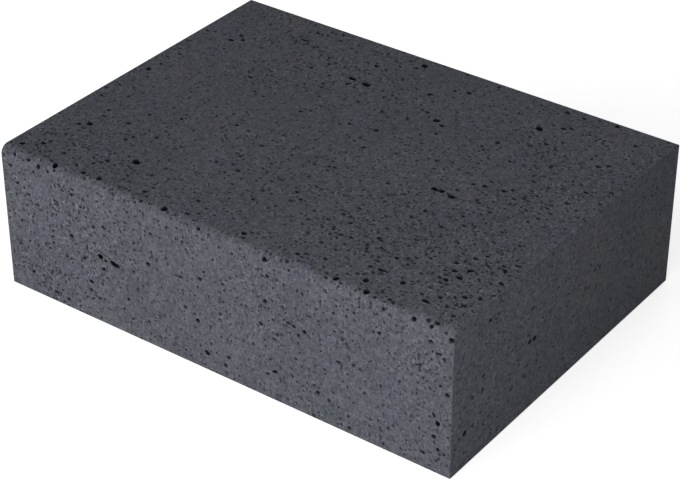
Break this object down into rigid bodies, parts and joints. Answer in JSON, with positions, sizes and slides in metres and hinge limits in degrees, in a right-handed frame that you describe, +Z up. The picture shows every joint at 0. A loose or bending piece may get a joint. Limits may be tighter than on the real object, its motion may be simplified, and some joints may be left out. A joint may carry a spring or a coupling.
{
  "type": "concrete block step",
  "caption": "Solid precast concrete block step in dark grey, a rectangular block with open blowholes in its faces and a rounded upper front edge, laid on its bed as a stair step.",
  "frame": {"origin": "middle of the bed face, the flat underside that the block lies on", "axes": "+X along the block's length, +Y from the front face to the back face, +Z up from the bed to the tread"},
  "size_m": [0.5, 0.37, 0.15],
  "materials": {
    "concrete": "matt cast concrete, coloured through in anthracite, with open pores"
  },
  "bodies": {
    "root": {"concrete_block": "concrete"}
  },
  "joints": []
}
